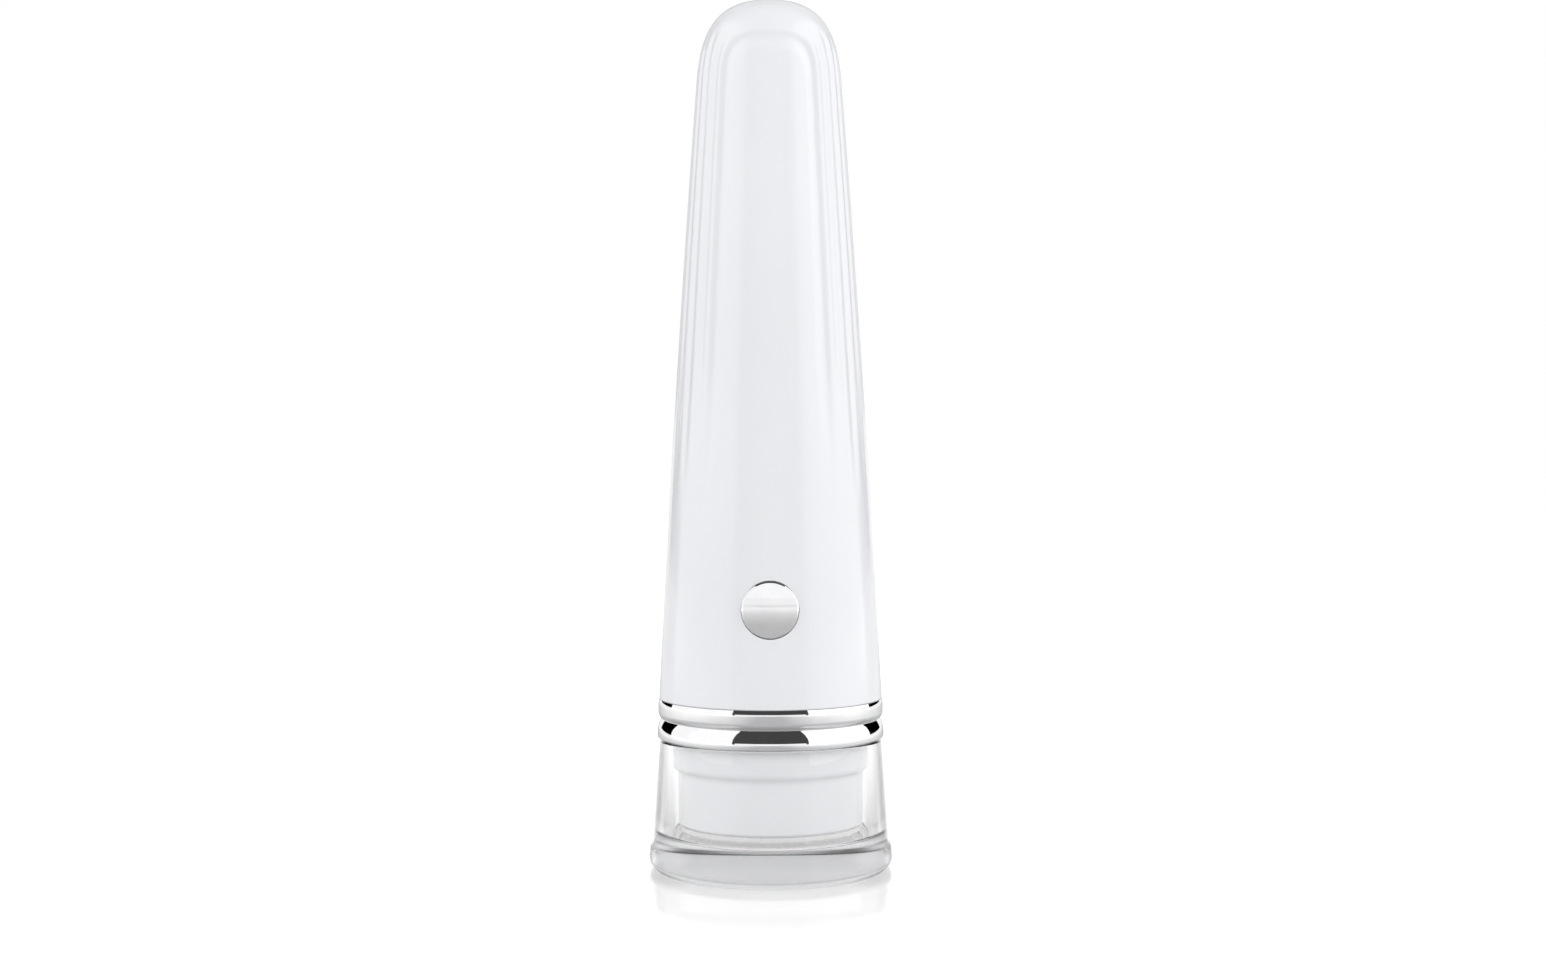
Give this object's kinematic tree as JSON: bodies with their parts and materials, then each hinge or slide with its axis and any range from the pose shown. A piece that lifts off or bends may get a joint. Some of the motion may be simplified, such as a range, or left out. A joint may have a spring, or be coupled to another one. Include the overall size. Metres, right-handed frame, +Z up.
{
  "type": "led facial cleansing device",
  "caption": "Hand-held facial care wand with a fluted white handle, round push button, bright rings, and a clear protective cap over its lit head.",
  "frame": {"origin": "centre of the clear cap's foot, on the surface that the device stands on", "axes": "+Z up along the handle's axis to its rounded tip, -Y out of the push button, +X to the right seen from the button's side"},
  "size_m": [0.0448, 0.0448, 0.1597],
  "materials": {
    "clear_acrylic": "clear, polished",
    "bright_chrome": "mirror polished",
    "white_gloss": "high gloss, cool white",
    "white_head": "gloss white",
    "white_satin": "satin",
    "grey_satin": "satin",
    "silicone": "soft translucent grey",
    "milky_guide": "milky",
    "plate_steel": "polished",
    "circuit_board": "solder mask",
    "led_lens": "clear yellow lens",
    "gold_contact": "gold plated",
    "motor_steel": "drawn",
    "weight_brass": "turned",
    "wire_blue": "insulation",
    "wire_red": "insulation",
    "screw_steel": "zinc plated",
    "cell_wrap": "shrink wrap",
    "nickel": "rolled",
    "chip_black": "moulded",
    "plunger_black": "moulded",
    "socket_steel": "stamped, polished"
  },
  "bodies": {
    "cap": {"cap_cup": "clear_acrylic", "cap_collar": "bright_chrome"},
    "handle": {"handle_shell": "white_gloss", "trim_ring": "bright_chrome", "neck_carrier": "white_satin", "neck_seal": "silicone", "head_shell": "white_head", "light_ring": "milky_guide", "treatment_plate": "plate_steel", "led_board": "circuit_board", "leds": "led_lens", "contact_pins": "gold_contact", "motor_bracket": "white_satin", "motor_can": "motor_steel", "motor_wires": "wire_blue", "led_wires": "wire_red", "neck_screws": "screw_steel", "chassis": "grey_satin", "battery_cell": "cell_wrap", "battery_tabs": "nickel", "main_board": "circuit_board", "board_chips": "chip_black", "tact_switch": "chip_black", "button_guide": "white_satin", "charge_board": "circuit_board", "usb_socket": "socket_steel", "board_screws": "screw_steel"},
    "button": {"button_cap": "bright_chrome"},
    "plunger": {"switch_plunger": "plunger_black"},
    "rotor": {"motor_shaft": "motor_steel", "eccentric_weight": "weight_brass"}
  },
  "joints": [
    {"name": "lift_off", "type": "slide", "parent": "cap", "child": "handle", "axis": [0, 0, 1], "range_m": [0, 0.06]},
    {"name": "button_press", "type": "slide", "parent": "handle", "child": "button", "axis": [0, 1, 0], "range_m": [0, 0.0005], "stiffness_N_per_m": 1500, "springref_m": -0.0002},
    {"name": "plunger_press", "type": "slide", "parent": "handle", "child": "plunger", "axis": [0, 1, 0], "range_m": [0, 0.0005]},
    {"name": "rotor_spin", "type": "hinge", "parent": "handle", "child": "rotor", "pos_m": [0, 0, 0.019], "axis": [1, 0, 0], "continuous": true}
  ],
  "couplings": [
    {"joint": "plunger_press", "follows": "button_press", "ratio": 1}
  ]
}
